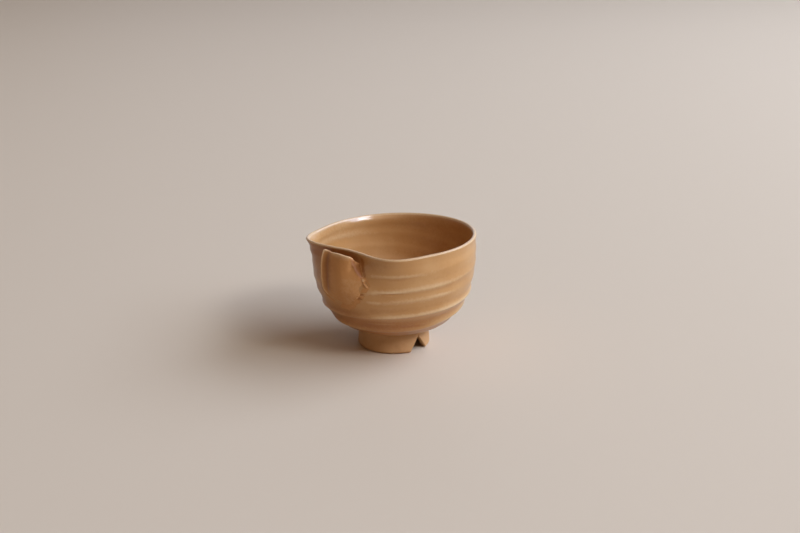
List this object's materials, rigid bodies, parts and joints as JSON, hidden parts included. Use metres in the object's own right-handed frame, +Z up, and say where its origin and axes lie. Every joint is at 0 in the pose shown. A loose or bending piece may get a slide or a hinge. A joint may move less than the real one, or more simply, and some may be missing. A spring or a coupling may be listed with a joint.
{
  "type": "sake pourer",
  "caption": "Wheel-thrown glazed stoneware pouring bowl on a cut foot ring, with a dented rim and a luted slab spout over a pouring hole.",
  "frame": {"origin": "centre of the foot ring, on the table", "axes": "+Z up along the bowl's axis; the spout pours towards -Y; the foot's knife cuts lie near +X and -X"},
  "size_m": [0.1016, 0.1021, 0.0701],
  "materials": {
    "amber_glaze": "satin-gloss caramel glaze over stoneware",
    "spout_glaze": "the same glaze, thinner over torn and cut edges",
    "foot_clay": "thinly washed bare clay, matte"
  },
  "bodies": {
    "root": {"bowl": "amber_glaze", "spout": "spout_glaze", "spout_luting": "spout_glaze", "foot_ring": "foot_clay", "foot_luting": "foot_clay"}
  },
  "joints": []
}
